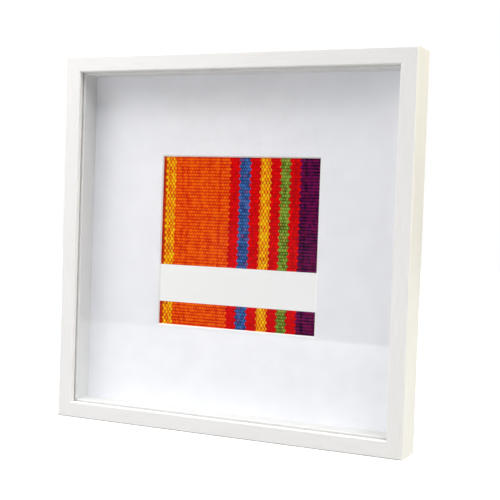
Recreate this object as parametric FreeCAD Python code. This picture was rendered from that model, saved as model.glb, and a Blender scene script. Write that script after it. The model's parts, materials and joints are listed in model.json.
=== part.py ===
import FreeCAD, Part
import math
import os

from FreeCAD import Vector

# A square shadow box, as a picture framer builds one. Four mitred rails hold, from the front, the glass,
# a frame of spacer strips, a mat with a bevelled window, a printed insert, a mounting board and a backing
# board. Turn buttons on the rails' backs close over the backing board, and two ring hangers carry it.
#
# Millimetres. +X is the viewer's right, +Y runs from the front face to the wall, +Z is up.
# The origin is the middle of the base, which is the underside of the bottom rail.

# Driving dimensions: the frame
OUTER_SIZE = 436.0
FRAME_DEPTH = 43.0
LIP_WIDTH = 19.0
LIP_THICKNESS = 6.0
WALL = 13.0
ARRIS_FRONT = 1.8
ARRIS_BACK = 0.8

# Driving dimensions: what the frame holds, from the front
SHEET_CLEARANCE = 1.0
GLASS_THICKNESS = 2.0
GLASS_SEAM = 0.3
SPACER_THICKNESS = 8.0
SPACER_DEPTH = 26.0
SPACER_CLEARANCE = 0.4
MAT_THICKNESS = 1.5
WINDOW_SIZE = 200.0
WINDOW_RAISE = 1.2
INSERT_THICKNESS = 0.3
MOUNTING_BOARD_THICKNESS = 4.0
BACKING_THICKNESS = 3.0

# Driving dimensions: corner nails, of which each corner has a stack
NAIL_LEG = 6.0
NAIL_GAUGE = 0.6
NAIL_DEPTH = 10.0
NAIL_INSET = 4.5
NAILS_PER_CORNER = 2

# Driving dimensions: turn buttons, two to a rail
BUTTON_REACH = 22.0
BUTTON_WIDTH = 9.0
BUTTON_GAUGE = 1.2
BUTTON_SPREAD = 110.0
BUTTON_TIP = 4.0
BUTTON_TIP_RISE = 1.3
BUTTON_END_FLAT = 0.02
PIVOT_CLEARANCE = 0.08

# Driving dimensions: screws
SHANK_RADIUS = 1.5
SHANK_LENGTH = 14.0
SCREW_POINT = 2.5
HEAD_RADIUS = 2.9
HEAD_HEIGHT = 1.8
HEAD_RIM = 0.6
HEAD_SHOULDER_RADIUS = 2.3
HEAD_SHOULDER_HEIGHT = 1.45
RECESS_WIDTH = 0.7
RECESS_SPAN = 3.4
RECESS_DEPTH = 1.1

# Driving dimensions: ring hangers, one on each side rail
HANGER_HEIGHT = 372.0
HANGER_INSET = 7.0
STRAP_WIDTH = 7.6
STRAP_GAUGE = 0.8
STRAP_LENGTH = 26.0
STRAP_SCREW_DROP = 17.0
STRAP_HOLE_RADIUS = 1.6
STRAP_CORNER = 2.3
RING_WIRE = 0.9
RING_HALF_WIDTH = 4.9
RING_SIDE = 4.5
RING_CORNER = 1.1

# How far apart two places may be and still count as one
TOLERANCE = 1e-6

# Sizes that follow
HALF = OUTER_SIZE / 2
CENTRE = Vector(0, 0, HALF)
BACK_FACE = FRAME_DEPTH
SHEET_HALF = HALF - WALL - SHEET_CLEARANCE
GLASS_FRONT = LIP_THICKNESS
SPACER_FRONT = GLASS_FRONT + GLASS_THICKNESS
MAT_FRONT = SPACER_FRONT + SPACER_DEPTH
INSERT_FRONT = MAT_FRONT + MAT_THICKNESS
MOUNTING_BOARD_FRONT = INSERT_FRONT + INSERT_THICKNESS
BACKING_FRONT = MOUNTING_BOARD_FRONT + MOUNTING_BOARD_THICKNESS
PIVOT_INSET = WALL / 2
EYE_BORE = RING_WIRE + PIVOT_CLEARANCE
EYE_RADIUS = EYE_BORE + STRAP_GAUGE

ALONG_X = Vector(1, 0, 0)
ALONG_Y = Vector(0, 1, 0)
ALONG_Z = Vector(0, 0, 1)


def behind_front(depth):
    """The y of a plane that lies depth behind the frame's front face."""
    return depth - FRAME_DEPTH / 2


def block(x_range, depth_range, z_range):
    """A box between two x, two depths behind the front face and two z."""
    size = [high - low for low, high in (x_range, depth_range, z_range)]
    corner = Vector(x_range[0], behind_front(depth_range[0]), z_range[0])
    return Part.makeBox(*size, corner)


def square_sheet(half, front, thickness):
    """A square board or pane, centred on the frame, whose front face is at the depth front."""
    across = (-half, half)
    return block(across, (front, front + thickness), (HALF - half, HALF + half))


def quarter_turned(shape, turns):
    """A copy of a shape, turned about the frame's middle from the bottom rail's place to another rail's."""
    turned = shape.copy()
    turned.rotate(CENTRE, ALONG_Y, 90 * turns)
    return turned


def rounded_outline(corners):
    """A closed wire through right-angled corners, each (point, radius) rounded to its own radius."""
    edges = []
    arc_ends = []
    for index, (corner, radius) in enumerate(corners):
        before = (corners[index - 1][0] - corner).normalize()
        after = (corners[(index + 1) % len(corners)][0] - corner).normalize()
        start = corner + before * radius
        end = corner + after * radius
        if radius:
            centre = corner + (before + after) * radius
            middle = centre - (before + after).normalize() * radius
            edges.append(Part.Arc(start, middle, end).toShape())
        arc_ends.append((start, end))
    for index, (start, _) in enumerate(arc_ends):
        edges.append(Part.makeLine(arc_ends[index - 1][1], start))
    return Part.Wire(Part.sortEdges(edges)[0])


def prism(points, direction):
    """A straight-sided solid on a polygon."""
    return Part.Face(Part.makePolygon([*points, points[0]])).extrude(direction)


def pan_head_screw():
    """A cross-headed screw along +Y, with its head seated on y = 0 and its shank below."""
    dome_start = Vector(HEAD_RADIUS, HEAD_RIM, 0)
    dome_middle = Vector(HEAD_SHOULDER_RADIUS, HEAD_SHOULDER_HEIGHT, 0)
    dome_top = Vector(0, HEAD_HEIGHT, 0)
    corners = [
        dome_top,
        Vector(0, -SHANK_LENGTH, 0),
        Vector(SHANK_RADIUS, SCREW_POINT - SHANK_LENGTH, 0),
        Vector(SHANK_RADIUS, 0, 0),
        Vector(HEAD_RADIUS, 0, 0),
        dome_start,
    ]
    straight = [Part.makeLine(a, b) for a, b in zip(corners, corners[1:])]
    dome = Part.Arc(dome_start, dome_middle, dome_top).toShape()
    outline = Part.Wire(Part.sortEdges([*straight, dome])[0])
    screw = Part.Face(outline).revolve(Vector(), ALONG_Y, 360)
    for long_side, short_side in ((RECESS_SPAN, RECESS_WIDTH), (RECESS_WIDTH, RECESS_SPAN)):
        corner = Vector(-long_side / 2, HEAD_HEIGHT - RECESS_DEPTH, -short_side / 2)
        screw = screw.cut(Part.makeBox(long_side, HEAD_HEIGHT, short_side, corner))
    return screw


def screw_on_back(x, z, gauge):
    """A screw through metal of this gauge that lies on the frame's back face."""
    screw = pan_head_screw()
    screw.translate(Vector(x, behind_front(BACK_FACE + gauge), z))
    return screw


def corner_nails():
    """The V nails of one corner, the bottom right one, flush with the back and with a leg in each rail."""
    across = HALF - NAIL_INSET
    nails = []
    for layer in range(NAILS_PER_CORNER):
        back = behind_front(BACK_FACE - layer * NAIL_DEPTH)
        outline = [
            Vector(across, back, NAIL_INSET),
            Vector(across - NAIL_LEG, back, NAIL_INSET),
            Vector(across - NAIL_LEG, back, NAIL_INSET + NAIL_GAUGE),
            Vector(across - NAIL_GAUGE, back, NAIL_INSET + NAIL_GAUGE),
            Vector(across - NAIL_GAUGE, back, NAIL_INSET + NAIL_LEG),
            Vector(across, back, NAIL_INSET + NAIL_LEG),
        ]
        nails.append(prism(outline, ALONG_Y * -NAIL_DEPTH))
    return nails


def plain_rail():
    """The bottom rail before its holes: an L section with rounded arrises, mitred at both ends."""
    front = behind_front(0)
    back = behind_front(BACK_FACE)
    step = behind_front(LIP_THICKNESS)
    section = rounded_outline(
        [
            (Vector(-HALF, front, 0), ARRIS_FRONT),
            (Vector(-HALF, back, 0), ARRIS_BACK),
            (Vector(-HALF, back, WALL), 0),
            (Vector(-HALF, step, WALL), 0),
            (Vector(-HALF, step, LIP_WIDTH), 0),
            (Vector(-HALF, front, LIP_WIDTH), ARRIS_FRONT),
        ]
    )
    bar = Part.Face(section).extrude(ALONG_X * OUTER_SIZE)
    mitred = [
        Vector(-HALF, front, 0),
        Vector(HALF, front, 0),
        Vector(HALF - LIP_WIDTH, front, LIP_WIDTH),
        Vector(LIP_WIDTH - HALF, front, LIP_WIDTH),
    ]
    return bar.common(prism(mitred, ALONG_Y * FRAME_DEPTH))


def rail(turns, fasteners):
    """A rail with a hole that fits each nail and screw in it. turns counts quarter turns from the bottom."""
    return quarter_turned(plain_rail(), turns).cut(Part.makeCompound(fasteners))


def glass_pane():
    """The front pane, with its sharp edges seamed off."""
    pane = square_sheet(SHEET_HALF, GLASS_FRONT, GLASS_THICKNESS)
    return pane.makeChamfer(GLASS_SEAM, pane.Edges)


def spacer(turns):
    """One of four strips that keep the mat off the glass. Those at top and bottom run the full width."""
    outer = HALF - WALL - SPACER_CLEARANCE
    full_width = turns % 2 == 0
    half_length = outer if full_width else outer - SPACER_THICKNESS
    low = HALF - outer
    strip = block(
        (-half_length, half_length), (SPACER_FRONT, MAT_FRONT), (low, low + SPACER_THICKNESS)
    )
    return quarter_turned(strip, turns)


def window_outline(half, depth):
    """The square outline of the mat's window where it passes this depth."""
    signs = ((-1, -1), (1, -1), (1, 1), (-1, 1))
    middle = Vector(0, behind_front(depth), HALF + WINDOW_RAISE)
    corners = [middle + Vector(x * half, 0, z * half) for x, z in signs]
    return Part.makePolygon([*corners, corners[0]])


def mat_board():
    """The mat, with a square window whose edge is cut at 45 degrees and so is wider at the front."""
    half = WINDOW_SIZE / 2
    cutter = Part.makeLoft(
        [
            window_outline(half + MAT_THICKNESS, MAT_FRONT),
            window_outline(half, INSERT_FRONT),
        ],
        True,
        True,
    )
    return square_sheet(SHEET_HALF, MAT_FRONT, MAT_THICKNESS).cut(cutter)


def turn_button():
    """A button parked along the bottom rail, on a pivot at x = z = 0, with its arm towards -X."""
    seat = behind_front(BACK_FACE)
    half_width = BUTTON_WIDTH / 2
    bend = -(BUTTON_REACH - BUTTON_TIP)
    side_view = [
        Vector(half_width, seat, -half_width),
        Vector(bend, seat, -half_width),
        Vector(-BUTTON_REACH, seat + BUTTON_TIP_RISE, -half_width),
        Vector(-BUTTON_REACH, seat + BUTTON_TIP_RISE + BUTTON_GAUGE, -half_width),
        Vector(bend, seat + BUTTON_GAUGE, -half_width),
        Vector(half_width, seat + BUTTON_GAUGE, -half_width),
    ]
    bent_strip = prism(side_view, ALONG_Z * BUTTON_WIDTH)
    round_end = (BUTTON_WIDTH - BUTTON_END_FLAT) / 2
    plan = rounded_outline(
        [
            (Vector(half_width, seat, -half_width), round_end),
            (Vector(-BUTTON_REACH, seat, -half_width), round_end),
            (Vector(-BUTTON_REACH, seat, half_width), round_end),
            (Vector(half_width, seat, half_width), round_end),
        ]
    )
    height = BUTTON_TIP_RISE + BUTTON_GAUGE
    button = bent_strip.common(Part.Face(plan).extrude(ALONG_Y * height))
    hole = Part.makeCylinder(SHANK_RADIUS + PIVOT_CLEARANCE, height, Vector(0, seat, 0), ALONG_Y)
    return button.cut(hole)


def placed_button(turns, side):
    """A button at side -1 or +1 of a rail, parked towards the rail's middle."""
    button = turn_button()
    if side < 0:
        button.rotate(Vector(), ALONG_Y, 180)
    button.translate(Vector(side * BUTTON_SPREAD, 0, PIVOT_INSET))
    return quarter_turned(button, turns)


def button_screws(turns):
    """The two pivot screws of a rail's buttons."""
    screws = [screw_on_back(side * BUTTON_SPREAD, PIVOT_INSET, BUTTON_GAUGE) for side in (-1, 1)]
    return [quarter_turned(screw, turns) for screw in screws]


def hanger_place(side):
    """Where a hanger's eye is: side is -1 for the left rail and +1 for the right one."""
    return Vector(side * (HALF - HANGER_INSET), behind_front(BACK_FACE) + EYE_RADIUS, HANGER_HEIGHT)


def hanger_strap(side):
    """A strip folded round the ring's bar, with both leaves flat on the rail under one screw."""
    half_width = STRAP_WIDTH / 2
    eye = Part.makeCylinder(EYE_RADIUS, STRAP_WIDTH, Vector(-half_width, 0, 0), ALONG_X)
    lower_leaf = Part.makeBox(
        STRAP_WIDTH, STRAP_GAUGE, STRAP_LENGTH, Vector(-half_width, -EYE_RADIUS, -STRAP_LENGTH)
    )
    fold = EYE_BORE + STRAP_GAUGE / 2
    upper_leaf = Part.makeBox(
        STRAP_WIDTH,
        STRAP_GAUGE,
        STRAP_LENGTH - fold,
        Vector(-half_width, STRAP_GAUGE - EYE_RADIUS, -STRAP_LENGTH),
    )
    strap = eye.fuse([lower_leaf, upper_leaf]).removeSplitter()
    bore = Part.makeCylinder(EYE_BORE, STRAP_WIDTH, Vector(-half_width, 0, 0), ALONG_X)
    screw_hole = Part.makeCylinder(
        STRAP_HOLE_RADIUS, 2 * STRAP_GAUGE, Vector(0, -EYE_RADIUS, -STRAP_SCREW_DROP), ALONG_Y
    )
    strap = strap.cut([bore, screw_hole])
    corners = [edge for edge in strap.Edges if is_strap_corner(edge)]
    strap = strap.makeFillet(STRAP_CORNER, corners)
    strap.translate(hanger_place(side))
    return strap


def is_strap_corner(edge):
    """Is this edge one of the two that stand at the strap's lower end?"""
    low_end = all(abs(vertex.Z + STRAP_LENGTH) < TOLERANCE for vertex in edge.Vertexes)
    return low_end and abs(edge.Vertexes[0].X - edge.Vertexes[-1].X) < TOLERANCE


def hanger_ring(side):
    """A D of round wire. Its straight bar lies in the strap's eye, and its bow points up."""
    inner = RING_HALF_WIDTH - RING_CORNER
    bow = RING_SIDE + RING_HALF_WIDTH
    slant = math.sqrt(0.5)
    edges = [Part.makeLine(Vector(-inner, 0, 0), Vector(inner, 0, 0))]
    for hand in (-1, 1):
        foot = Vector(hand * inner, 0, 0)
        corner = Vector(hand * (inner + RING_CORNER * slant), 0, RING_CORNER * (1 - slant))
        side_start = Vector(hand * RING_HALF_WIDTH, 0, RING_CORNER)
        side_end = Vector(hand * RING_HALF_WIDTH, 0, RING_SIDE)
        edges.append(Part.Arc(foot, corner, side_start).toShape())
        edges.append(Part.makeLine(side_start, side_end))
    left_side, right_side = (Vector(hand * RING_HALF_WIDTH, 0, RING_SIDE) for hand in (-1, 1))
    edges.append(Part.Arc(left_side, Vector(0, 0, bow), right_side).toShape())
    path = Part.Wire(Part.sortEdges(edges)[0])
    start = path.OrderedVertexes[0].Point
    heading = path.OrderedEdges[0].tangentAt(path.OrderedEdges[0].FirstParameter)
    wire_section = Part.Wire(Part.makeCircle(RING_WIRE, start, heading))
    ring = path.makePipeShell([wire_section], True, False)
    ring.translate(hanger_place(side))
    return ring


def hanger_screw(side):
    """The screw that holds a hanger's strap to its rail."""
    place = hanger_place(side)
    return screw_on_back(place.x, place.z - STRAP_SCREW_DROP, 2 * STRAP_GAUGE)


def build_parts():
    """Every node's solids, by name."""
    rail_names = ("bottom", "left", "top", "right")
    all_nails = [quarter_turned(nail, turns) for turns in range(4) for nail in corner_nails()]
    all_button_screws = [screw for turns in range(4) for screw in button_screws(turns)]
    all_hanger_screws = [hanger_screw(side) for side in (-1, 1)]
    fasteners = all_nails + all_button_screws + all_hanger_screws

    parts = {}
    for turns, name in enumerate(rail_names):
        parts[f"rail_{name}"] = [rail(turns, fasteners)]
        parts[f"spacer_{name}"] = [spacer(turns)]
    parts["corner_v_nails"] = all_nails
    parts["glass_pane"] = [glass_pane()]
    parts["mat_board"] = [mat_board()]
    parts["insert_sheet"] = [square_sheet(SHEET_HALF, INSERT_FRONT, INSERT_THICKNESS)]
    parts["mounting_board"] = [
        square_sheet(SHEET_HALF, MOUNTING_BOARD_FRONT, MOUNTING_BOARD_THICKNESS)
    ]
    parts["backing_board"] = [square_sheet(SHEET_HALF, BACKING_FRONT, BACKING_THICKNESS)]

    # Which end of each rail a button is at, for the rail's side -1 and then its side +1
    button_ends = {
        "bottom": ("left", "right"),
        "left": ("upper", "lower"),
        "top": ("right", "left"),
        "right": ("lower", "upper"),
    }
    for turns, name in enumerate(rail_names):
        for side, end in zip((-1, 1), button_ends[name]):
            parts[f"turn_button_{name}_{end}"] = [placed_button(turns, side)]
    parts["turn_button_screws"] = all_button_screws
    for side, name in ((-1, "left"), (1, "right")):
        parts[f"hanger_strap_{name}"] = [hanger_strap(side)]
        parts[f"hanger_ring_{name}"] = [hanger_ring(side)]
    parts["hanger_screws"] = all_hanger_screws
    return parts


os.makedirs("parts", exist_ok=True)
for node, solids in build_parts().items():
    Part.makeCompound(solids).exportStep(f"parts/{node}.step")
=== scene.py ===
import json
import math
from collections import namedtuple

import bmesh
import bpy
from mathutils import Matrix, Vector, geometry


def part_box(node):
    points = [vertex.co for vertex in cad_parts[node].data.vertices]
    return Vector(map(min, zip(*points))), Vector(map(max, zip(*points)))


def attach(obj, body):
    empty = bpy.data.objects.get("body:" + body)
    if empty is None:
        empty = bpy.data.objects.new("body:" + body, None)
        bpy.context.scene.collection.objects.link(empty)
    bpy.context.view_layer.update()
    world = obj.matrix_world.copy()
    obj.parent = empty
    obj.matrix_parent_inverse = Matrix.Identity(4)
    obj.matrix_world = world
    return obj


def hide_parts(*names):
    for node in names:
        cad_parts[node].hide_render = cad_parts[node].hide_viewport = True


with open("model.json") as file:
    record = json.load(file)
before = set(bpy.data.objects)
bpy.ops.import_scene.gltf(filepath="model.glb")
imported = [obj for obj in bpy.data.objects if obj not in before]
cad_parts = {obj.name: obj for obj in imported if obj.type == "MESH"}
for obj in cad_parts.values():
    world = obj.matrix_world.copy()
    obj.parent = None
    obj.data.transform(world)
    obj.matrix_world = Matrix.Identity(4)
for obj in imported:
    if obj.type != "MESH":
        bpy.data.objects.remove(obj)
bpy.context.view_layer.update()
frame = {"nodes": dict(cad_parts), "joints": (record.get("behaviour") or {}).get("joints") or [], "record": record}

# The looks of a square shadow box: foil-wrapped rails, glass, spacers, a bevelled mat over a striped
# print, boards and plated hardware. Metres throughout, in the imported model's own frame: +X is the
# viewer's right, +Y runs from the glass to the wall, +Z is up.

MM = 0.001

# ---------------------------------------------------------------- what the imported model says

NODES = frame["nodes"]
RECORD = frame["record"]
BODY_OF = {node: body for body, nodes in RECORD["behaviour"]["bodies"].items() for node in nodes}
JOINT_TO = {joint["child"]: joint for joint in frame["joints"]}
TINY = 1e-6

rail_low, rail_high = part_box("rail_bottom")
HALF = rail_high.x
FRONT = rail_low.y
BACK = rail_high.y
LIP = rail_high.z
rail_points = [vertex.co for vertex in NODES["rail_bottom"].data.vertices]
WALL = max(point.z for point in rail_points if point.y > BACK - TINY)
STEP = max(point.y for point in rail_points if point.z > LIP - TINY)
CENTRE = Vector((0, 0, HALF))
# The sides in quarter turns from the bottom, and the corners of a square in order
SIDES = ("bottom", "left", "top", "right")
CORNERS = ((-1, -1), (1, -1), (1, 1), (-1, 1))

# The window's middle and its half size at the mat's rear face and at its front face
mat_low, mat_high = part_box("mat_board")
mat_points = [vertex.co for vertex in NODES["mat_board"].data.vertices]
window_points = [point for point in mat_points if abs(point.x) < mat_high.x - LIP]
WINDOW_MIDDLE = (max(p.z for p in window_points) + min(p.z for p in window_points)) / 2
WINDOW_FRONT = max(p.x for p in window_points if p.y < mat_low.y + TINY)
WINDOW_REAR = max(p.x for p in window_points if p.y > mat_high.y - TINY)

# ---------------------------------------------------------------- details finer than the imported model

# Rails: rounded edges, the foil's turned-in margin on the back, and the fine groove at every joint
ARRIS_FRONT = 1.8 * MM
ARRIS_BACK = 0.8 * MM
FOIL_MARGIN = 3.2 * MM
FOIL_THICKNESS = 0.12 * MM
JOINT_GROOVE = 0.16 * MM
# Spacers and sheets: eased edges, and a hair of air between the glass and the spacers
SPACER_EDGE = 0.5 * MM
SHEET_EDGE = 0.15 * MM
GLASS_SEAM = 0.3 * MM
GLASS_GAP = 0.06 * MM
FOAM_FACE = 0.35 * MM
FOAM_GROOVE = 0.12 * MM
# Turn buttons: eased edges, half the length of the bend, and the pivot's hole
BUTTON_EDGE = 0.22 * MM
BUTTON_BEND = 2.0 * MM
HOLE_RADIUS = 1.58 * MM
# Hangers: the strap wraps this many degrees of the ring's bar, then closes on itself
HOLE_CLEARANCE = 0.08 * MM
STRAP_EDGE = 0.18 * MM
STRAP_CORNER = 2.3 * MM
LEAF_GAP = 0.015 * MM
EYE_WRAP = 235
FOLD_LENGTH = 1.9 * MM
RING_CORNER = 1.1 * MM
# How finely each curve is cut
ARRIS_STEPS = 8
SPACER_STEPS = 4
BUTTON_SLICES = 8
STRAP_END_STEPS = 6
WIRE_STEPS = 20
ARC_STEPS = 14

# Which of a piece's materials a face takes: the first is its outside
SKIN = 0
CORE = 1
# The third is used only on the spacers' narrow front faces: a whiter paper, as painted light where the lip shades
# them
PAINTED_LIGHT_FACE = 2

# ---------------------------------------------------------------- meshes


class Builder:
    """Collects a mesh's vertices and faces, with a material and UV corners for each face."""

    def __init__(self):
        self.vertices = []
        self.faces = []
        self.kinds = []
        self.uvs = []

    def vertex(self, x, y, z):
        self.vertices.append((x, y, z))
        return len(self.vertices) - 1

    def face(self, corners, kind=0, uv=None):
        self.faces.append(corners)
        self.kinds.append(kind)
        self.uvs.append(uv or [(0.0, 0.0)] * len(corners))

    def bridge(self, first, second, kind=0):
        """Joins two closed rings of vertices with four-cornered faces."""
        for index, here in enumerate(first):
            following = (index + 1) % len(first)
            self.face([here, first[following], second[following], second[index]], kind)

    def piece(self, name, materials, smooth_angle=35):
        """Makes the object, with outward normals and edges that are sharp above an angle in degrees."""
        mesh = bpy.data.meshes.new(name)
        mesh.from_pydata(self.vertices, [], self.faces)
        mesh.polygons.foreach_set("material_index", self.kinds)
        layer = mesh.uv_layers.new(name="Grain")
        layer.data.foreach_set("uv", [value for uv in self.uvs for pair in uv for value in pair])
        for material in materials:
            mesh.materials.append(material)
        made = bpy.data.objects.new(name, mesh)
        bpy.context.scene.collection.objects.link(made)
        tidy_normals(made, smooth_angle)
        return made


def tidy_normals(piece, smooth_angle):
    """Faces outwards, shades smooth, and lets large flat faces keep their own normals."""
    mesh = piece.data
    shape = bmesh.new()
    shape.from_mesh(mesh)
    bmesh.ops.recalc_face_normals(shape, faces=shape.faces)
    shape.to_mesh(mesh)
    shape.free()
    mesh.shade_smooth()
    mesh.set_sharp_from_angle(angle=math.radians(smooth_angle))
    weighted = piece.modifiers.new("flat faces stay flat", "WEIGHTED_NORMAL")
    weighted.keep_sharp = True


def stand_for(piece, node):
    """The piece replaces a CAD node and rides on its body."""
    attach(piece, BODY_OF[node])
    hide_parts(node)
    return piece


def quarter_turn(turns):
    """The turn about the frame's middle from the bottom rail's place to another rail's."""
    spin = Matrix.Rotation(math.radians(90 * turns), 4, "Y")
    return Matrix.Translation(CENTRE) @ spin @ Matrix.Translation(-CENTRE)


def rounded_section(corners, steps):
    """An outline of (y, z, kind) points. Each corner is (y, z, radius, kind) and turns by a right angle."""
    points = []
    for index, (y, z, radius, kind) in enumerate(corners):
        corner = Vector((y, z))
        if not radius:
            points.append((y, z, kind))
            continue
        before = (Vector(corners[index - 1][:2]) - corner).normalized()
        after = (Vector(corners[(index + 1) % len(corners)][:2]) - corner).normalized()
        for step in range(steps + 1):
            angle = math.pi / 2 * step / steps
            inwards = before * (1 - math.sin(angle)) + after * (1 - math.cos(angle))
            point = corner + inwards * radius
            points.append((point.x, point.y, kind))
    return points


def swept_bar(section, half_length, slope, groove, seed):
    """A bar along X. section(inset) gives its outline; slope 1 mitres its ends and 0 cuts them square.

    Its ends are chamfered by the groove, so that a joint shows as a fine line.
    """
    build = Builder()
    rings = []
    for side, offset, inset in ((-1, 0, groove), (-1, groove, 0), (1, groove, 0), (1, 0, groove)):
        ring = []
        for y, z, _ in section(inset):
            x = side * (half_length - slope * z - offset)
            ring.append(build.vertex(x, y, z))
        rings.append(ring)
    outline = section(0)
    lengths = [0.0]
    for (y0, z0, _), (y1, z1, _) in zip(outline, outline[1:] + outline[:1]):
        lengths.append(lengths[-1] + math.hypot(y1 - y0, z1 - z0))
    count = len(outline)
    for first, second in zip(rings, rings[1:]):
        for index in range(count):
            following = (index + 1) % count
            corners = [first[index], first[following], second[following], second[index]]
            around = [lengths[index], lengths[index + 1], lengths[index + 1], lengths[index]]
            uv = [(seed + build.vertices[corner][0], v) for corner, v in zip(corners, around)]
            build.face(corners, outline[index][2], uv)
    for ring in (rings[0], rings[-1]):
        uv = [(seed + build.vertices[i][1], build.vertices[i][2]) for i in ring]
        build.face(ring, CORE, uv)
    return build


def square_rings(rings, closed):
    """Square rings of (half size, y, middle height, kind), each joined to the next.

    Closed, the last ring joins the first; open, both ends are capped.
    """
    build = Builder()
    made = []
    for half, y, middle, _ in rings:
        made.append([build.vertex(x * half, y, middle + z * half) for x, z in CORNERS])
    pairs = list(zip(range(len(made)), range(1, len(made))))
    if closed:
        pairs.append((len(made) - 1, 0))
    for low, high in pairs:
        build.bridge(made[low], made[high], rings[low][3])
    if not closed:
        build.face(made[0], rings[0][3])
        build.face(made[-1], rings[-1][3])
    return build


# ---------------------------------------------------------------- materials


def tone(red, green, blue):
    """A display colour, 0 to 255, as the linear colour that a shader takes."""
    linear = []
    for value in (red, green, blue):
        share = value / 255
        linear.append(share / 12.92 if share <= 0.04045 else ((share + 0.055) / 1.055) ** 2.4)
    return (*linear, 1.0)


def grey(share):
    """A ramp colour that carries a plain number."""
    return (share, share, share, 1.0)


class Surface:
    """One procedural material, built round a Principled shader."""

    def __init__(self, name):
        self.material = bpy.data.materials.new(name)
        self.material.use_nodes = True
        self.tree = self.material.node_tree
        self.shader = self.tree.nodes["Principled BSDF"]

    def feed(self, socket, value):
        if isinstance(value, bpy.types.NodeSocket):
            self.tree.links.new(value, socket)
        else:
            socket.default_value = value

    def set(self, **values):
        """Sets the shader's inputs by name, with _ for a space."""
        for name, value in values.items():
            self.feed(self.shader.inputs[name.replace("_", " ")], value)

    def math(self, operation, *values):
        made = self.tree.nodes.new("ShaderNodeMath")
        made.operation = operation
        for socket, value in zip(made.inputs, values):
            self.feed(socket, value)
        return made.outputs[0]

    def place(self):
        """The point in the model's frame, in metres."""
        return self.tree.nodes.new("ShaderNodeTexCoord").outputs["Object"]

    def grain(self):
        """Metres along a bar and round its section."""
        made = self.tree.nodes.new("ShaderNodeUVMap")
        made.uv_map = "Grain"
        return made.outputs[0]

    def split(self, vector):
        made = self.tree.nodes.new("ShaderNodeSeparateXYZ")
        self.feed(made.inputs[0], vector)
        return made.outputs[0], made.outputs[1], made.outputs[2]

    def join(self, x=0.0, y=0.0, z=0.0):
        made = self.tree.nodes.new("ShaderNodeCombineXYZ")
        for socket, value in zip(made.inputs, (x, y, z)):
            self.feed(socket, value)
        return made.outputs[0]

    def noise(self, vector, size, detail=2.0, roughness=0.5):
        """Noise from 0 to 1 with blotches of a size in metres, given once or for each axis."""
        sizes = size if isinstance(size, tuple) else (size, size, size)
        scaled = self.tree.nodes.new("ShaderNodeVectorMath")
        scaled.operation = "DIVIDE"
        self.feed(scaled.inputs[0], vector)
        scaled.inputs[1].default_value = sizes
        made = self.tree.nodes.new("ShaderNodeTexNoise")
        self.feed(made.inputs["Vector"], scaled.outputs[0])
        made.inputs["Scale"].default_value = 1.0
        made.inputs["Detail"].default_value = detail
        made.inputs["Roughness"].default_value = roughness
        return made.outputs[0]

    def random(self, vector):
        """A different number from 0 to 1 for each whole-numbered cell."""
        made = self.tree.nodes.new("ShaderNodeTexWhiteNoise")
        self.feed(made.inputs["Vector"], vector)
        return made.outputs["Value"]

    def between(self, value, low, high, to_low=0.0, to_high=1.0):
        """value, stretched so that low to high becomes to_low to to_high, and held there outside."""
        made = self.tree.nodes.new("ShaderNodeMapRange")
        for socket, entry in zip(made.inputs, (value, low, high, to_low, to_high)):
            self.feed(socket, entry)
        return made.outputs[0]

    def mix(self, share, first, second):
        """A colour mixed from two others."""
        made = self.tree.nodes.new("ShaderNodeMix")
        made.data_type = "RGBA"
        self.feed(made.inputs["Factor"], share)
        colours = [socket for socket in made.inputs if socket.type == "RGBA"]
        self.feed(colours[0], first)
        self.feed(colours[1], second)
        return next(socket for socket in made.outputs if socket.type == "RGBA")

    def steps(self, value, stops):
        """The colour of the last (start, colour) stop that value has passed."""
        made = self.tree.nodes.new("ShaderNodeValToRGB")
        ramp = made.color_ramp
        ramp.interpolation = "CONSTANT"
        while len(ramp.elements) < len(stops):
            ramp.elements.new(1.0)
        for element, (start, colour) in zip(ramp.elements, stops):
            element.position = start
            element.color = colour
        self.feed(made.inputs[0], value)
        return made.outputs["Color"]

    def bump(self, height, depth):
        """Relief whose height, from 0 to 1, stands for this depth in metres."""
        made = self.tree.nodes.new("ShaderNodeBump")
        made.inputs["Distance"].default_value = depth
        self.feed(made.inputs["Height"], height)
        self.feed(self.shader.inputs["Normal"], made.outputs[0])


def foil_white():
    """Satin white foil over fibreboard: a faint lengthwise grain, with a little orange peel."""
    skin = Surface("foil_white")
    along = skin.grain()
    cloud = skin.noise(along, (0.11, 0.03, 1), detail=3)
    pores = skin.noise(along, (0.035, 0.0010, 1), detail=4, roughness=0.6)
    peel = skin.noise(along, 0.0016, detail=2)
    colour = skin.mix(cloud, tone(228, 227, 226), tone(233, 232, 231))
    streak = skin.between(pores, 0.5, 0.75, 0.0, 0.34)
    colour = skin.mix(streak, colour, tone(206, 202, 196))
    skin.set(Base_Color=colour, Specular_IOR_Level=0.45)
    skin.set(Roughness=skin.between(cloud, 0.3, 0.7, 0.34, 0.44))
    relief = skin.math("MULTIPLY_ADD", pores, 0.6, peel)
    skin.bump(relief, 0.00003)
    return skin.material


def raw_fibreboard(name, light, dark):
    """Brown pressed fibres: fine flecks over soft clouds."""
    board = Surface(name)
    place = board.place()
    cloud = board.noise(place, 0.025, detail=4)
    fleck = board.noise(place, (0.0016, 0.0009, 0.0011), detail=5, roughness=0.7)
    colour = board.mix(board.between(cloud, 0.3, 0.7), tone(*dark), tone(*light))
    colour = board.mix(board.between(fleck, 0.52, 0.75, 0.0, 0.5), colour, tone(92, 64, 40))
    colour = board.mix(board.between(fleck, 0.45, 0.25, 0.0, 0.35), colour, tone(196, 164, 124))
    board.set(Base_Color=colour, Specular_IOR_Level=0.25)
    board.set(Roughness=board.between(fleck, 0.3, 0.7, 0.62, 0.85))
    board.bump(fleck, 0.00008)
    return board.material


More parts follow.
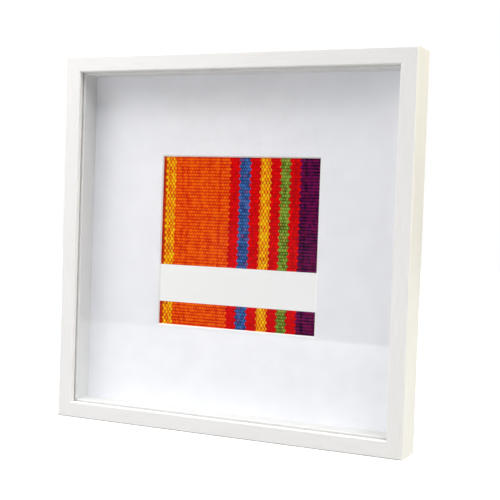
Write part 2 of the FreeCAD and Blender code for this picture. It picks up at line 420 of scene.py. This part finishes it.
def paper(name, colour, fibre_depth):
    """Matt paper with a fine fibre."""
    sheet = Surface(name)
    place = sheet.place()
    cloud = sheet.noise(place, 0.02, detail=3)
    fibre = sheet.noise(place, (0.0011, 0.0011, 0.0008), detail=5, roughness=0.65)
    darker = tuple(value - 5 for value in colour)
    mixed = sheet.mix(sheet.between(cloud, 0.3, 0.7), tone(*colour), tone(*darker))
    mixed = sheet.mix(sheet.between(fibre, 0.5, 0.8, 0.0, 0.04), mixed, tone(200, 200, 206))
    sheet.set(Base_Color=mixed, Specular_IOR_Level=0.2)
    sheet.set(Roughness=sheet.between(fibre, 0.3, 0.7, 0.75, 0.92))
    sheet.bump(fibre, fibre_depth)
    return sheet.material


def foam_core():
    """The cut edge of polystyrene foam, with its small cells."""
    foam = Surface("foam_core")
    place = foam.place()
    cells = foam.tree.nodes.new("ShaderNodeTexVoronoi")
    cells.inputs["Scale"].default_value = 900
    foam.feed(cells.inputs["Vector"], place)
    wall = foam.between(cells.outputs["Distance"], 0.1, 0.7)
    foam.set(Base_Color=foam.mix(wall, tone(244, 244, 242), tone(222, 222, 220)))
    foam.set(Roughness=foam.between(wall, 0, 1, 0.55, 0.8), Specular_IOR_Level=0.3)
    foam.bump(wall, 0.00015)
    return foam.material


def plated_steel(name, colour, roughness):
    """Plated sheet metal: fine brushing, cloudy polish and a few darker spots."""
    metal = Surface(name)
    place = metal.place()
    brush = metal.noise(place, (0.0002, 0.0002, 0.006), detail=3)
    cloud = metal.noise(place, 0.004, detail=4)
    spots = metal.noise(place, 0.0009, detail=2)
    dull = tuple(value * 0.82 for value in colour)
    mixed = metal.mix(metal.between(cloud, 0.35, 0.7), tone(*colour), tone(*dull))
    mixed = metal.mix(metal.between(spots, 0.68, 0.8, 0.0, 0.4), mixed, tone(110, 106, 98))
    metal.set(Base_Color=mixed, Metallic=1.0)
    metal.set(Roughness=metal.between(brush, 0.3, 0.7, roughness - 0.06, roughness + 0.1))
    metal.bump(brush, 0.00001)
    return metal.material


def clear_glass():
    """Glass that passes light straight through and mirrors more of it at a glancing angle."""
    glass = Surface("clear_glass")
    tree = glass.tree
    tree.nodes.remove(glass.shader)
    facing = tree.nodes.new("ShaderNodeLayerWeight")
    facing.inputs["Blend"].default_value = 0.5
    glancing = glass.math("POWER", facing.outputs["Facing"], 5.0)
    smear = glass.noise(glass.place(), 0.05, detail=4)
    head_on = glass.between(smear, 0.3, 0.7, 0.030, 0.036)
    mirrored = glass.math("MULTIPLY_ADD", glancing, 0.9, head_on)
    through = tree.nodes.new("ShaderNodeBsdfTransparent")
    through.inputs["Color"].default_value = (0.992, 0.997, 0.994, 1)
    mirror = tree.nodes.new("ShaderNodeBsdfGlossy")
    glass.feed(mirror.inputs["Roughness"], glass.between(smear, 0.3, 0.7, 0.02, 0.05))
    both = tree.nodes.new("ShaderNodeMixShader")
    glass.feed(both.inputs[0], mirrored)
    glass.feed(both.inputs[1], through.outputs[0])
    glass.feed(both.inputs[2], mirror.outputs[0])
    glass.feed(tree.nodes["Material Output"].inputs["Surface"], both.outputs[0])
    return glass.material


# The print: stripes from left to right as (thread, width in millimetres), which fill the mat's window
STRIPES = (
    ("rust", 3.4),
    ("yellow", 13.5),
    ("orange", 71.3),
    ("red", 12.5),
    ("blue", 12.8),
    ("red", 13.3),
    ("yellow", 12.5),
    ("red", 12.5),
    ("green", 12.0),
    ("red", 12.4),
    ("purple", 23.8),
)
# For each thread: the colour of its crests and of its hollows, how strongly it breaks into beads and into
# ribs, and the width of a bead in millimetres
Thread = namedtuple("Thread", "crest hollow beaded ribbed bead_width")
THREADS = {
    "rust": Thread((230, 66, 10), (150, 20, 6), 0.4, 0.5, 3.2),
    "yellow": Thread((255, 216, 14), (222, 60, 0), 1.2, 0.25, 4.3),
    "orange": Thread((255, 112, 4), (212, 28, 0), 0.6, 0.75, 3.5),
    "red": Thread((250, 0, 2), (172, 0, 8), 0.4, 0.35, 3.2),
    "blue": Thread((60, 122, 198), (34, 10, 64), 0.7, 0.45, 3.2),
    "green": Thread((148, 190, 66), (56, 50, 4), 0.75, 0.5, 3.2),
    "purple": Thread((122, 6, 84), (16, 2, 34), 0.3, 0.8, 3.2),
}
ROW_PITCH = 3.65 * MM
EDGE_WAVE = 1.1 * MM
# A ramp carries numbers from 0 to 1 only, so it carries a bead's width in centimetres
BEAD_SCALE = 10
# How far the light on one bead strays, how much darker a dark thread is, and the share of dark threads
BEAD_CHANCE = 0.28
DARK_THREAD = 0.35
DARK_THREADS = 0.25
# A share of the beads lies low enough to show a red thread through it
STRAY_RED = (180, 10, 24)
STRAY_BEADS = 0.14
STRAY_STRENGTH = 1.4
CLOTH_SHADE = 0.18
# The plain band, as shares of the window's height, and the margin printed beyond the window
BAND_LOW = 0.136
BAND_HIGH = 0.357
PRINT_BLEED = 4.0 * MM
BAND_WHITE = (252, 252, 253)
SHEET_WHITE = (240, 240, 242)


def stripe_stops(pick):
    """Ramp stops across the window, each stripe's start with pick(its thread) as the colour."""
    total = sum(width for _, width in STRIPES)
    stops = []
    start = 0.0
    for thread, width in STRIPES:
        stops.append((start / total, pick(THREADS[thread])))
        start += width
    return stops


def weave_light(sheet, x, rows, wave, across):
    """The light on the weave, from 0 in its hollows to 1 on its crests, and how much red shows through.

    The beads are laid like bricks: those of one row sit half a bead along from those of the next.
    """
    width = sheet.steps(across, stripe_stops(lambda thread: grey(thread.bead_width / BEAD_SCALE)))
    beads = sheet.math("DIVIDE", x, sheet.math("MULTIPLY", width, BEAD_SCALE * MM))
    bead_wave = sheet.math("COSINE", sheet.math("MULTIPLY", beads, 2 * math.pi))
    rib_wave = sheet.math("COSINE", sheet.math("MULTIPLY", rows, 2 * math.pi))
    bead_swing = sheet.steps(across, stripe_stops(lambda thread: grey(thread.beaded / 2)))
    rib_swing = sheet.steps(across, stripe_stops(lambda thread: grey(thread.ribbed / 2)))
    light = sheet.math("MULTIPLY_ADD", sheet.math("MULTIPLY", bead_wave, wave), bead_swing, 0.5)
    light = sheet.math("MULTIPLY_ADD", rib_wave, rib_swing, light)

    row = sheet.math("ROUND", rows)
    column = sheet.math("ROUND", sheet.math("MULTIPLY_ADD", row, -0.5, beads))
    chance = sheet.random(sheet.join(column, row))
    light = sheet.math("ADD", light, sheet.between(chance, 0, 1, -BEAD_CHANCE, BEAD_CHANCE))
    thread_chance = sheet.random(sheet.join(sheet.math("ROUND", beads)))
    darker = sheet.between(thread_chance, 1 - DARK_THREADS, 1.0, 0.0, DARK_THREAD)
    light = sheet.between(sheet.math("SUBTRACT", light, darker), 0, 1)

    stray = sheet.math("GREATER_THAN", sheet.random(sheet.join(row, column, 1.0)), 1 - STRAY_BEADS)
    return light, sheet.math("MULTIPLY", stray, sheet.math("MULTIPLY", bead_swing, STRAY_STRENGTH))


def weave_colour(sheet, x, z, rows):
    """Striped cloth. Every second row is pushed sideways, so that the stripes' edges are scalloped."""
    wave = sheet.math("COSINE", sheet.math("MULTIPLY", rows, math.pi))
    wavy_x = sheet.math("MULTIPLY_ADD", wave, EDGE_WAVE, x)
    across = sheet.math("DIVIDE", sheet.math("ADD", wavy_x, WINDOW_REAR), 2 * WINDOW_REAR)
    light, stray = weave_light(sheet, x, rows, wave, across)
    crests = sheet.steps(across, stripe_stops(lambda thread: tone(*thread.crest)))
    hollows = sheet.steps(across, stripe_stops(lambda thread: tone(*thread.hollow)))
    woven = sheet.mix(light, sheet.mix(stray, hollows, tone(*STRAY_RED)), crests)
    cloth = sheet.noise(sheet.join(x, 0.0, z), (0.010, 1, 0.035), detail=3)
    return sheet.mix(sheet.between(cloth, 0.35, 0.7, 0.0, CLOTH_SHADE), woven, hollows)


def within(sheet, value, low, high):
    """1 where a value lies between two limits, and 0 elsewhere."""
    above = sheet.math("GREATER_THAN", value, low)
    below = sheet.math("LESS_THAN", value, high)
    return sheet.math("MULTIPLY", above, below)


def striped_print():
    """Satin paper with a print of woven stripes and a plain band, and white paper round the print."""
    sheet = Surface("striped_print")
    x, _, z = sheet.split(sheet.place())
    up = sheet.math("SUBTRACT", z, WINDOW_MIDDLE - WINDOW_REAR)
    woven = weave_colour(sheet, x, z, sheet.math("DIVIDE", up, ROW_PITCH))
    band = within(sheet, sheet.math("DIVIDE", up, 2 * WINDOW_REAR), BAND_LOW, BAND_HIGH)
    printed = sheet.mix(band, woven, tone(*BAND_WHITE))
    reach = WINDOW_REAR + PRINT_BLEED
    inside_x = within(sheet, x, -reach, reach)
    inside_z = within(sheet, z, WINDOW_MIDDLE - reach, WINDOW_MIDDLE + reach)
    inside = sheet.math("MULTIPLY", inside_x, inside_z)
    sheet.set(Base_Color=sheet.mix(inside, tone(*SHEET_WHITE), printed))
    fibre = sheet.noise(sheet.place(), 0.0012, detail=4)
    sheet.set(Roughness=sheet.between(fibre, 0.3, 0.7, 0.5, 0.6), Specular_IOR_Level=0.06)
    sheet.bump(fibre, 0.00001)
    return sheet.material


FOIL = foil_white()
MDF = raw_fibreboard("raw_fibreboard", (186, 150, 110), (174, 138, 98))
HARDBOARD = raw_fibreboard("hardboard", (164, 122, 84), (154, 112, 74))
WHITE_PAPER = paper("spacer_paper", (232, 232, 231), 0.00003)
# A whiter paper than the spacers' own: painted light on their narrow front faces, which the rails' lips shade
SPACER_PAINTED_LIGHT = paper("spacer_face_painted_light", (255, 255, 255), 0.00003)
MAT_PAPER = paper("mat_paper", (249, 249, 255), 0.000003)
MAT_CORE = paper("mat_core", (255, 255, 255), 0.00003)
BOARD_PAPER = paper("board_paper", (236, 236, 234), 0.00003)
FOAM = foam_core()
PRINT = striped_print()
GLASS = clear_glass()
NICKEL = plated_steel("nickel_plate", (196, 192, 183), 0.32)
ZINC = plated_steel("zinc_plate", (206, 208, 210), 0.34)
BLUED = plated_steel("blued_steel", (130, 132, 138), 0.42)

# ---------------------------------------------------------------- the frame's four rails


def rail_section(inset):
    """The L section of a rail: foil on what shows, and bare board in the rebate and on most of the back."""
    board_back = BACK - FOIL_THICKNESS
    corners = [
        (FRONT + inset, inset, ARRIS_FRONT - inset, SKIN),
        (BACK - inset, inset, ARRIS_BACK - inset, SKIN),
        (BACK - inset, FOIL_MARGIN, 0, SKIN),
        (board_back - inset, FOIL_MARGIN, 0, CORE),
        (board_back - inset, WALL - inset, 0, CORE),
        (STEP - inset, WALL - inset, 0, CORE),
        (STEP - inset, LIP - inset, 0, SKIN),
        (FRONT + inset, LIP - inset, ARRIS_FRONT - inset, SKIN),
    ]
    return rounded_section(corners, ARRIS_STEPS)


def rails():
    for turns, side in enumerate(SIDES):
        build = swept_bar(rail_section, HALF, 1, JOINT_GROOVE, seed=turns)
        piece = build.piece(f"{side}_rail_moulding", [FOIL, MDF])
        piece.data.transform(quarter_turn(turns))
        stand_for(piece, f"rail_{side}")


# ---------------------------------------------------------------- spacers


def spacer_section(inset):
    """A strip's section, with a whiter paper on the narrow face behind the glass: painted light, which brightens
    that face where the rail's lip shades it.
    """
    low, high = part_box("spacer_bottom")
    low.y += GLASS_GAP
    radius = SPACER_EDGE - inset
    corners = [
        (low.y + inset, low.z + inset, radius, SKIN),
        (high.y - inset, low.z + inset, radius, SKIN),
        (high.y - inset, high.z - inset, radius, SKIN),
        # The narrow front face takes the whiter paper: painted light where the lip shades it
        (low.y + inset, high.z - inset, radius, PAINTED_LIGHT_FACE),
    ]
    return rounded_section(corners, SPACER_STEPS)


def spacers():
    for turns, side in enumerate(SIDES):
        low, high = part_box(f"spacer_{side}")
        half_length = max(high.x - low.x, high.z - low.z) / 2
        build = swept_bar(spacer_section, half_length, 0, JOINT_GROOVE, seed=turns + 10)
        piece = build.piece(f"{side}_spacer_strip", [WHITE_PAPER, MDF, SPACER_PAINTED_LIGHT])
        piece.data.transform(quarter_turn(turns))
        stand_for(piece, f"spacer_{side}")


# ---------------------------------------------------------------- sheets


def sheet_rings(node, edge, skin=SKIN, side=SKIN):
    """The rings of a whole sheet with eased edges."""
    low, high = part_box(node)
    middle = (low.z + high.z) / 2
    half = high.x
    return [
        (half - edge, low.y, middle, skin),
        (half, low.y + edge, middle, side),
        (half, high.y - edge, middle, skin),
        (half - edge, high.y, middle, skin),
    ]


def glass_pane():
    build = square_rings(sheet_rings("glass_pane", GLASS_SEAM), closed=False)
    stand_for(build.piece("float_glass_pane", [GLASS], smooth_angle=20), "glass_pane")


def mat_board():
    low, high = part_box("mat_board")
    middle = (low.z + high.z) / 2
    half = high.x
    edge = SHEET_EDGE
    rings = [
        (WINDOW_REAR, high.y, WINDOW_MIDDLE, CORE),
        (WINDOW_FRONT, low.y, WINDOW_MIDDLE, SKIN),
        (half - edge, low.y, middle, SKIN),
        (half, low.y + edge, middle, CORE),
        (half, high.y - edge, middle, SKIN),
        (half - edge, high.y, middle, SKIN),
    ]
    build = square_rings(rings, closed=True)
    stand_for(build.piece("bevelled_mat", [MAT_PAPER, MAT_CORE], smooth_angle=20), "mat_board")


def insert_sheet():
    build = square_rings(sheet_rings("insert_sheet", SHEET_EDGE / 3), closed=False)
    stand_for(build.piece("striped_insert", [PRINT], smooth_angle=20), "insert_sheet")


def mounting_board():
    """Foam board: two paper faces stand a hair proud of the foam between them."""
    low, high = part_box("mounting_board")
    middle = (low.z + high.z) / 2
    half = high.x
    core = half - FOAM_GROOVE
    rings = [
        (half, low.y, middle, SKIN),
        (half, low.y + FOAM_FACE, middle, SKIN),
        (core, low.y + FOAM_FACE, middle, CORE),
        (core, high.y - FOAM_FACE, middle, SKIN),
        (half, high.y - FOAM_FACE, middle, SKIN),
        (half, high.y, middle, SKIN),
    ]
    build = square_rings(rings, closed=False)
    piece = build.piece("foam_mounting_board", [BOARD_PAPER, FOAM], smooth_angle=20)
    stand_for(piece, "mounting_board")


def backing_board():
    build = square_rings(sheet_rings("backing_board", 2 * SHEET_EDGE), closed=False)
    stand_for(build.piece("hardboard_back", [HARDBOARD], smooth_angle=20), "backing_board")


# ---------------------------------------------------------------- turn buttons


def arc(centre_x, centre_y, radius, start, sweep):
    """Points round part of a circle, with angles in degrees."""
    points = []
    for step in range(ARC_STEPS + 1):
        angle = math.radians(start + sweep * step / ARC_STEPS)
        points.append(Vector((centre_x + radius * math.cos(angle), centre_y + radius * math.sin(angle))))
    return points


def cut_plate(outlines, gauge, edge):
    """The mesh of a flat plate in x and y with eased edges. Every outline after the first is a hole."""
    curve = bpy.data.curves.new("plate", "CURVE")
    curve.dimensions = "2D"
    curve.fill_mode = "BOTH"
    curve.extrude = gauge / 2 - edge
    curve.bevel_depth = edge
    curve.bevel_resolution = 2
    curve.offset = -edge
    for outline in outlines:
        spline = curve.splines.new("POLY")
        spline.points.add(len(outline) - 1)
        spline.use_cyclic_u = True
        for point, (x, y) in zip(spline.points, outline):
            point.co = (x, y, 0, 1)
    holder = bpy.data.objects.new("plate", curve)
    mesh = bpy.data.meshes.new_from_object(holder)
    bpy.data.objects.remove(holder)
    bpy.data.curves.remove(curve)
    return mesh


def slice_across(mesh, cuts):
    """Welds a mesh and cuts it through at each x, so that it can bend there."""
    shape = bmesh.new()
    shape.from_mesh(mesh)
    bmesh.ops.remove_doubles(shape, verts=shape.verts, dist=TINY)
    for x in cuts:
        everything = shape.verts[:] + shape.edges[:] + shape.faces[:]
        bmesh.ops.bisect_plane(shape, geom=everything, dist=TINY, plane_co=(x, 0, 0), plane_no=(1, 0, 0))
    shape.to_mesh(mesh)
    shape.free()


def button_mesh():
    """A button with its pivot at the origin, its arm along -X and its back on y = 0, bent up at the tip."""
    node = "turn_button_bottom_right"
    low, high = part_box(node)
    pivot = Vector(JOINT_TO[node]["pos_m"])
    points = [vertex.co for vertex in NODES[node].data.vertices]
    gauge = max(point.y for point in points if point.x > pivot.x) - low.y
    bend = min(point.x for point in points if point.y < low.y + TINY) - pivot.x
    reach = pivot.x - low.x
    half_width = high.x - pivot.x
    outline = arc(0, 0, half_width, -90, 180) + arc(half_width - reach, 0, half_width, 90, 180)
    hole = arc(0, 0, HOLE_RADIUS, 0, 360)[:-1]
    mesh = cut_plate([outline, hole], gauge, BUTTON_EDGE)

    # The arm is flat, then curves up over the bend's length, and is straight again to the tip
    start = bend + BUTTON_BEND
    length = 2 * BUTTON_BEND
    slice_across(mesh, [start - length * step / BUTTON_SLICES for step in range(BUTTON_SLICES + 1)])
    slope = (high.y - low.y - gauge) / (reach + bend)
    for vertex in mesh.vertices:
        x, across, up = vertex.co
        in_bend = min(max(start - x, 0), length)
        beyond = max(start - length - x, 0)
        lift = slope * (in_bend * in_bend / (2 * length) + beyond)
        vertex.co = (x, gauge / 2 + up + lift, -across)
    return mesh


def turn_buttons():
    pattern = button_mesh()
    for node in [name for name in NODES if name in JOINT_TO and name.startswith("turn_button")]:
        low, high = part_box(node)
        pivot = Vector(JOINT_TO[node]["pos_m"])
        arm = (low + high) / 2 - pivot
        turn = Matrix.Rotation(math.atan2(arm.z, -arm.x), 4, "Y")
        mesh = pattern.copy()
        mesh.transform(Matrix.Translation((pivot.x, low.y, pivot.z)) @ turn)
        mesh.materials.append(NICKEL)
        piece = bpy.data.objects.new(node.replace("turn_button", "bent_button"), mesh)
        bpy.context.scene.collection.objects.link(piece)
        tidy_normals(piece, 40)
        stand_for(piece, node)
    bpy.data.meshes.remove(pattern)


# ---------------------------------------------------------------- hangers


def sideways(path, closed=False):
    """The unit vector to the left of the way along a flat path, at each of its points."""
    vectors = []
    for index, point in enumerate(path):
        before = path[index - 1] if index or closed else point
        after = path[(index + 1) % len(path)] if index + 1 < len(path) or closed else point
        along = (after - before).normalized()
        vectors.append(Vector((-along.y, along.x)))
    return vectors


def strap_path(radius, gauge, length):
    """The middle of the folded strip in y and z: up the lower leaf, round the eye and down the upper one."""
    turns = [math.pi / 2 * step / STRAP_END_STEPS for step in range(STRAP_END_STEPS + 1)]
    end_points = [STRAP_CORNER * (1 - math.cos(turn)) for turn in turns]
    up = [Vector((-radius, end - length)) for end in end_points]
    eye = arc(0, 0, radius, 180, -EYE_WRAP)
    leaf_y = gauge + LEAF_GAP - radius
    leaving = (eye[-1] - eye[-2]).normalized()
    fold = Vector((leaf_y, eye[-1].y - FOLD_LENGTH))
    handles = (eye[-1] + leaving * FOLD_LENGTH / 2, fold + Vector((0, FOLD_LENGTH / 2)))
    curve = geometry.interpolate_bezier(*(p.to_3d() for p in (eye[-1], *handles, fold)), ARC_STEPS)
    down = [Vector((leaf_y, end - length)) for end in reversed(end_points)]
    return up + eye + [point.to_2d() for point in curve[1:]] + down


def strip_outline(path, hand, inset, gauge, half_width):
    """The edge of a folded strip, as (x, y, z) points down one face of it and then down the other.

    hand is -1 or +1 for the strip's two sides. At inset 0 the outline is that of the eased edge.
    """
    thickness = gauge / 2 - (0 if inset else STRAP_EDGE)
    end_z = path[0].y
    points = []
    for face in (1, -1):
        for point, across in zip(path, sideways(path)):
            near_end = max(STRAP_CORNER - (point.y - end_z), 0)
            narrower = STRAP_CORNER - math.sqrt(STRAP_CORNER**2 - near_end**2)
            place = point + across * thickness * face
            points.append((hand * (half_width - narrower - inset), place.x, place.y))
    return points


def hanger_strap(side):
    """A strip folded round the ring's bar, with both leaves flat on the rail and rounded at the end."""
    node = f"hanger_strap_{side}"
    low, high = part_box(node)
    ring_low, ring_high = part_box(f"hanger_ring_{side}")
    eye = Vector(JOINT_TO[f"hanger_ring_{side}"]["pos_m"])
    bore = (ring_high.y - ring_low.y) / 2 + HOLE_CLEARANCE
    gauge = eye.y - low.y - bore
    half_width = (high.x - low.x) / 2
    path = strap_path(bore + gauge / 2, gauge, eye.z - low.z)
    build = Builder()
    rings = []
    for hand, inset in ((-1, 0), (-1, STRAP_EDGE), (1, STRAP_EDGE), (1, 0)):
        outline = strip_outline(path, hand, inset, gauge, half_width)
        rings.append([build.vertex(eye.x + x, eye.y + y, eye.z + z) for x, y, z in outline])
    # Once round the strip's section: along one face and back along the other
    count = len(path)
    around = list(range(count)) + list(range(2 * count - 1, count - 1, -1))
    for first, second in zip(rings, rings[1:]):
        build.bridge([first[index] for index in around], [second[index] for index in around])
    for ring in (rings[0], rings[-1]):
        for index in range(count - 1):
            build.face([ring[index], ring[index + 1], ring[count + index + 1], ring[count + index]])
    stand_for(build.piece(f"{side}_folded_strap", [NICKEL], smooth_angle=40), node)


def hanger_ring(side):
    """A D of round wire with its bar in the strap's eye."""
    node = f"hanger_ring_{side}"
    low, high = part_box(node)
    eye = Vector(JOINT_TO[node]["pos_m"])
    wire = (high.y - low.y) / 2
    half_width = (high.x - low.x) / 2 - wire
    inner = half_width - RING_CORNER
    bow_z = high.z - eye.z - wire - half_width
    path = arc(inner, RING_CORNER, RING_CORNER, -90, 90) + arc(0, bow_z, half_width, 0, 180)
    path += arc(-inner, RING_CORNER, RING_CORNER, 180, 90)
    build = Builder()
    rings = []
    for point, across in zip(path, sideways(path, closed=True)):
        ring = []
        for step in range(WIRE_STEPS):
            angle = 2 * math.pi * step / WIRE_STEPS
            place = point + across * wire * math.cos(angle)
            ring.append(build.vertex(eye.x + place.x, eye.y + wire * math.sin(angle), eye.z + place.y))
        rings.append(ring)
    for first, second in zip(rings, rings[1:] + rings[:1]):
        build.bridge(first, second)
    stand_for(build.piece(f"{side}_wire_ring", [NICKEL], smooth_angle=60), node)


# ---------------------------------------------------------------- screws and nails


def fasteners():
    """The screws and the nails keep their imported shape: bright zinc, and blued steel for the nails."""
    for node, piece in NODES.items():
        if piece.hide_render:
            continue
        piece.data.materials.clear()
        piece.data.materials.append(BLUED if "nails" in node else ZINC)


# ---------------------------------------------------------------- the whole object

rails()
spacers()
glass_pane()
mat_board()
insert_sheet()
mounting_board()
backing_board()
turn_buttons()
for hanger_side in ("left", "right"):
    hanger_strap(hanger_side)
    hanger_ring(hanger_side)
fasteners()

# ---------------------------------------------------------------- camera, light and floor

# From the front and a little to the right. Angles are in radians, and the lens is in millimetres
CAMERA_PLACE = (0.5359, -1.1179, 0.2588)
CAMERA_YAW = 0.430
CAMERA_PITCH = -0.037
CAMERA_ROLL = 0.035
CAMERA_LENS = 77.7
FLOOR_REACH = 4.0
FLOOR_GLOW = 0.42
FLOOR_BOUNCE = (160, 160, 160)
CARD_DISTANCE = 0.95
CARD_HALF = 1.6
CARD_HEIGHT = 1.2
AMBIENT = 0.02
# The colours of the lights that aren't white
COOL = (0.97, 0.98, 1.0)
BLUSH = (1.0, 0.965, 0.94)
CREAM = (1.0, 0.94, 0.69)


def add_camera():
    data = bpy.data.cameras.new("camera")
    data.lens = CAMERA_LENS
    data.sensor_width = 36.0
    camera = bpy.data.objects.new("camera", data)
    turn = Matrix.Rotation(CAMERA_YAW, 4, "Z")
    tilt = Matrix.Rotation(math.pi / 2 + CAMERA_PITCH, 4, "X")
    roll = Matrix.Rotation(CAMERA_ROLL, 4, "Z")
    camera.matrix_world = Matrix.Translation(CAMERA_PLACE) @ turn @ tilt @ roll
    bpy.context.scene.collection.objects.link(camera)
    bpy.context.scene.camera = camera


def add_floor():
    """A white floor that throws little light back up.

    It glows a little for the camera, so that only deep shadows show on it.
    """
    build = Builder()
    build.face([build.vertex(x * FLOOR_REACH, y * FLOOR_REACH, 0) for x, y in CORNERS])
    ground = Surface("pale_floor")
    cloud = ground.noise(ground.place(), 0.4, detail=2)
    ray = ground.tree.nodes.new("ShaderNodeLightPath").outputs
    white = ground.mix(cloud, tone(246, 246, 246), tone(248, 248, 248))
    ground.set(Base_Color=ground.mix(ray["Is Diffuse Ray"], white, tone(*FLOOR_BOUNCE)), Roughness=0.9)
    ground.set(Emission_Color=(1, 1, 1, 1), Specular_IOR_Level=0.0)
    ground.set(Emission_Strength=ground.math("MULTIPLY", ray["Is Camera Ray"], FLOOR_GLOW))
    build.piece("floor", [ground.material])


def add_dark_card():
    """A dark card in front of the floor, which only the glass's mirror image sees."""
    build = Builder()
    ends = ((-CARD_HALF, 0), (CARD_HALF, 0), (CARD_HALF, CARD_HEIGHT), (-CARD_HALF, CARD_HEIGHT))
    build.face([build.vertex(x, -CARD_DISTANCE, z) for x, z in ends])
    black = Surface("dark_card")
    black.set(Base_Color=tone(20, 20, 22), Roughness=1.0, Specular_IOR_Level=0.0)
    card = build.piece("dark_card", [black.material])
    for ray in ("camera", "diffuse", "transmission", "volume_scatter", "shadow"):
        setattr(card, f"visible_{ray}", False)


def place_light(name, data, place, target):
    light = bpy.data.objects.new(name, data)
    aim = (Vector(target) - Vector(place)).to_track_quat("-Z", "Y")
    light.matrix_world = Matrix.LocRotScale(Vector(place), aim, None)
    bpy.context.scene.collection.objects.link(light)
    return light


def add_sun(name, azimuth, elevation, spread, strength, colour=(1, 1, 1), shines=True):
    """A soft light from far off, in degrees. Azimuth 0 comes from the front and 90 from the right.

    One that doesn't shine leaves no highlight on glass or foil.
    """
    data = bpy.data.lights.new(name, "SUN")
    data.energy = strength
    data.angle = math.radians(spread)
    data.color = colour
    turn = math.radians(azimuth)
    lift = math.radians(elevation)
    place = (math.sin(turn) * math.cos(lift), -math.cos(turn) * math.cos(lift), math.sin(lift))
    place_light(name, data, place, (0, 0, 0)).visible_glossy = shines


def add_panel(name, place, target, size, power, colour=(1, 1, 1)):
    """A soft box close by, in metres and watts."""
    data = bpy.data.lights.new(name, "AREA")
    data.shape = "RECTANGLE"
    data.size, data.size_y = size
    data.energy = power
    data.color = colour
    place_light(name, data, place, target)


def add_world(ambient):
    """A white surround for the camera, and a dimmer one as light."""
    world = bpy.data.worlds.new("studio")
    world.use_nodes = True
    tree = world.node_tree
    background = tree.nodes["Background"]
    background.inputs["Color"].default_value = (1, 1, 1, 1)
    seen = tree.nodes.new("ShaderNodeLightPath")
    strength = tree.nodes.new("ShaderNodeMapRange")
    strength.inputs["To Min"].default_value = ambient
    strength.inputs["To Max"].default_value = 1.0
    tree.links.new(seen.outputs["Is Camera Ray"], strength.inputs["Value"])
    tree.links.new(strength.outputs[0], background.inputs["Strength"])
    bpy.context.scene.world = world


add_camera()
add_floor()
add_dark_card()
add_world(AMBIENT)
# From the right, high up
add_sun("key", 55, 47, 34, 0.88, COOL)
add_sun("high_key", 45, 65, 40, 1.3, COOL)
add_sun("right_sky", 95, 45, 60, 0.72)
# From the left and the front
add_sun("left_low", -45, 10, 40, 0.76, shines=False)
add_sun("left_high", -45, 60, 60, 0.35)
add_panel("left_top", (-0.6, -0.5, 1.0), (0, 0, 0.2), (0.6, 0.6), 6, BLUSH)
add_panel("low_front", (-0.1, -1.0, 0.12), (0, 0, 0.1), (0.8, 0.2), 1.85)
# Close to the right side, above and below
add_panel("warm_top", (0.7, 0, 0.8), (0.2, 0, 0.35), (0.3, 0.3), 2.75, CREAM)
add_panel("warm_low", (0.9, 0, 0.05), (0.2, 0, 0.1), (0.3, 0.3), 1.3, CREAM)
# On the back
add_panel("back_panel", (-0.9, 1.5, 1.0), (0, 0, 0.2), (2.4, 1.8), 28)
bpy.context.scene.view_settings.view_transform = "Standard"
